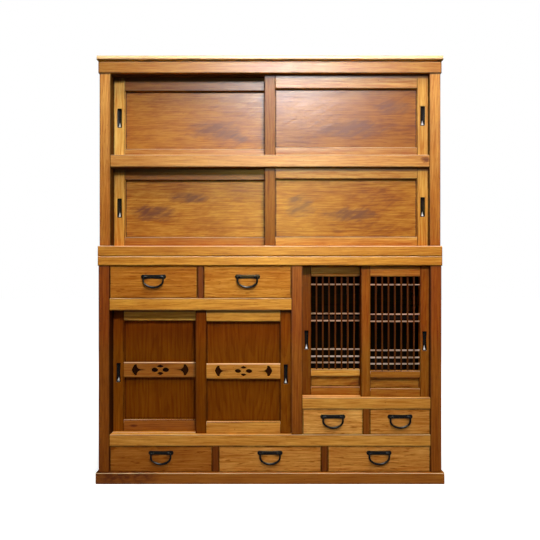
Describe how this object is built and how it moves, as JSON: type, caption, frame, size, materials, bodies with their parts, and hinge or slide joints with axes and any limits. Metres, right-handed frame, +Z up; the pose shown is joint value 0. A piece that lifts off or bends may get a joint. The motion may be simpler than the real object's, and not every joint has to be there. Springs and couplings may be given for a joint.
{
  "type": "mizuya kitchen cabinet",
  "caption": "Stacked Japanese kitchen cabinet: sliding board doors above; drawers with iron bail handles, openwork doors and lattice doors below.",
  "frame": {"origin": "on the floor under the middle of the cases, on the underside of the plinth's stretcher", "axes": "+Z up, front faces -Y, +X to the right of someone facing the front"},
  "size_m": [1.392, 0.4348, 1.709],
  "materials": {
    "case_wood": "clear lacquer, satin",
    "door_wood": "clear lacquer, satin",
    "panel_wood": "clear lacquer, satin",
    "drawer_wood": "clear lacquer, satin",
    "band_wood": "clear lacquer, satin",
    "lattice_wood": "clear lacquer, satin",
    "board_wood": "thin lacquer, matt",
    "iron": "blackened, waxed"
  },
  "bodies": {
    "carcass": {"plinth": "case_wood", "middle_shelf": "case_wood", "lower_head_frame": "case_wood", "upper_sill_frame": "case_wood", "frieze_frame": "case_wood", "top_board": "case_wood", "posts": "case_wood", "lower_rails": "case_wood", "inner_framing": "case_wood", "floors": "board_wood", "case_panels": "board_wood"},
    "middle_left_door": {"middle_left_door_frame": "door_wood", "middle_left_door_panel": "panel_wood", "middle_left_door_pull": "iron"},
    "middle_right_door": {"middle_right_door_frame": "door_wood", "middle_right_door_panel": "panel_wood", "middle_right_door_pull": "iron"},
    "top_left_door": {"top_left_door_frame": "door_wood", "top_left_door_panel": "panel_wood", "top_left_door_pull": "iron"},
    "top_right_door": {"top_right_door_frame": "door_wood", "top_right_door_panel": "panel_wood", "top_right_door_pull": "iron"},
    "openwork_left_door": {"openwork_left_door_frame": "door_wood", "openwork_left_door_panel": "panel_wood", "openwork_left_door_pull": "iron", "openwork_left_door_band": "band_wood"},
    "openwork_right_door": {"openwork_right_door_frame": "door_wood", "openwork_right_door_panel": "panel_wood", "openwork_right_door_pull": "iron", "openwork_right_door_band": "band_wood"},
    "lattice_left_door": {"lattice_left_door_frame": "door_wood", "lattice_left_door_panel": "panel_wood", "lattice_left_door_pull": "iron", "lattice_left_door_lattice": "lattice_wood"},
    "lattice_right_door": {"lattice_right_door_frame": "door_wood", "lattice_right_door_panel": "panel_wood", "lattice_right_door_pull": "iron", "lattice_right_door_lattice": "lattice_wood"},
    "upper_left_drawer": {"upper_left_drawer_box": "drawer_wood", "upper_left_drawer_handle_plate": "iron"},
    "upper_left_drawer_bail": {"upper_left_drawer_bail": "iron"},
    "upper_right_drawer": {"upper_right_drawer_box": "drawer_wood", "upper_right_drawer_handle_plate": "iron"},
    "upper_right_drawer_bail": {"upper_right_drawer_bail": "iron"},
    "small_left_drawer": {"small_left_drawer_box": "drawer_wood", "small_left_drawer_handle_plate": "iron"},
    "small_left_drawer_bail": {"small_left_drawer_bail": "iron"},
    "small_right_drawer": {"small_right_drawer_box": "drawer_wood", "small_right_drawer_handle_plate": "iron"},
    "small_right_drawer_bail": {"small_right_drawer_bail": "iron"},
    "bottom_left_drawer": {"bottom_left_drawer_box": "drawer_wood", "bottom_left_drawer_handle_plate": "iron"},
    "bottom_left_drawer_bail": {"bottom_left_drawer_bail": "iron"},
    "bottom_middle_drawer": {"bottom_middle_drawer_box": "drawer_wood", "bottom_middle_drawer_handle_plate": "iron"},
    "bottom_middle_drawer_bail": {"bottom_middle_drawer_bail": "iron"},
    "bottom_right_drawer": {"bottom_right_drawer_box": "drawer_wood", "bottom_right_drawer_handle_plate": "iron"},
    "bottom_right_drawer_bail": {"bottom_right_drawer_bail": "iron"}
  },
  "joints": [
    {"name": "middle_left_door_slide", "type": "slide", "parent": "carcass", "child": "middle_left_door", "axis": [1, 0, 0], "range_m": [0, 0.615]},
    {"name": "middle_right_door_slide", "type": "slide", "parent": "carcass", "child": "middle_right_door", "axis": [1, 0, 0], "range_m": [-0.615, 0]},
    {"name": "top_left_door_slide", "type": "slide", "parent": "carcass", "child": "top_left_door", "axis": [1, 0, 0], "range_m": [0, 0.615]},
    {"name": "top_right_door_slide", "type": "slide", "parent": "carcass", "child": "top_right_door", "axis": [1, 0, 0], "range_m": [-0.615, 0]},
    {"name": "openwork_left_door_slide", "type": "slide", "parent": "carcass", "child": "openwork_left_door", "axis": [1, 0, 0], "range_m": [0, 0.3415]},
    {"name": "openwork_right_door_slide", "type": "slide", "parent": "carcass", "child": "openwork_right_door", "axis": [1, 0, 0], "range_m": [-0.3415, 0]},
    {"name": "lattice_left_door_slide", "type": "slide", "parent": "carcass", "child": "lattice_left_door", "axis": [1, 0, 0], "range_m": [0, 0.23675]},
    {"name": "lattice_right_door_slide", "type": "slide", "parent": "carcass", "child": "lattice_right_door", "axis": [1, 0, 0], "range_m": [-0.23675, 0]},
    {"name": "upper_left_drawer_slide", "type": "slide", "parent": "carcass", "child": "upper_left_drawer", "axis": [0, -1, 0], "range_m": [0, 0.3]},
    {"name": "upper_left_drawer_bail_swing", "type": "hinge", "parent": "upper_left_drawer", "child": "upper_left_drawer_bail", "pos_m": [-0.466, -0.2178, 0.82645], "axis": [-1, 0, 0], "range_deg": [0, 170]},
    {"name": "upper_right_drawer_slide", "type": "slide", "parent": "carcass", "child": "upper_right_drawer", "axis": [0, -1, 0], "range_m": [0, 0.3]},
    {"name": "upper_right_drawer_bail_swing", "type": "hinge", "parent": "upper_right_drawer", "child": "upper_right_drawer_bail", "pos_m": [-0.09, -0.2178, 0.82645], "axis": [-1, 0, 0], "range_deg": [0, 170]},
    {"name": "small_left_drawer_slide", "type": "slide", "parent": "carcass", "child": "small_left_drawer", "axis": [0, -1, 0], "range_m": [0, 0.3]},
    {"name": "small_left_drawer_bail_swing", "type": "hinge", "parent": "small_left_drawer", "child": "small_left_drawer_bail", "pos_m": [0.2515, -0.2178, 0.2661], "axis": [-1, 0, 0], "range_deg": [0, 170]},
    {"name": "small_right_drawer_slide", "type": "slide", "parent": "carcass", "child": "small_right_drawer", "axis": [0, -1, 0], "range_m": [0, 0.3]},
    {"name": "small_right_drawer_bail_swing", "type": "hinge", "parent": "small_right_drawer", "child": "small_right_drawer_bail", "pos_m": [0.5205, -0.2178, 0.2661], "axis": [-1, 0, 0], "range_deg": [0, 170]},
    {"name": "bottom_left_drawer_slide", "type": "slide", "parent": "carcass", "child": "bottom_left_drawer", "axis": [0, -1, 0], "range_m": [0, 0.3]},
    {"name": "bottom_left_drawer_bail_swing", "type": "hinge", "parent": "bottom_left_drawer", "child": "bottom_left_drawer_bail", "pos_m": [-0.43633, -0.2178, 0.12096], "axis": [-1, 0, 0], "range_deg": [0, 170]},
    {"name": "bottom_middle_drawer_slide", "type": "slide", "parent": "carcass", "child": "bottom_middle_drawer", "axis": [0, -1, 0], "range_m": [0, 0.3]},
    {"name": "bottom_middle_drawer_bail_swing", "type": "hinge", "parent": "bottom_middle_drawer", "child": "bottom_middle_drawer_bail", "pos_m": [0, -0.2178, 0.12096], "axis": [-1, 0, 0], "range_deg": [0, 170]},
    {"name": "bottom_right_drawer_slide", "type": "slide", "parent": "carcass", "child": "bottom_right_drawer", "axis": [0, -1, 0], "range_m": [0, 0.3]},
    {"name": "bottom_right_drawer_bail_swing", "type": "hinge", "parent": "bottom_right_drawer", "child": "bottom_right_drawer_bail", "pos_m": [0.43633, -0.2178, 0.12096], "axis": [-1, 0, 0], "range_deg": [0, 170]}
  ]
}
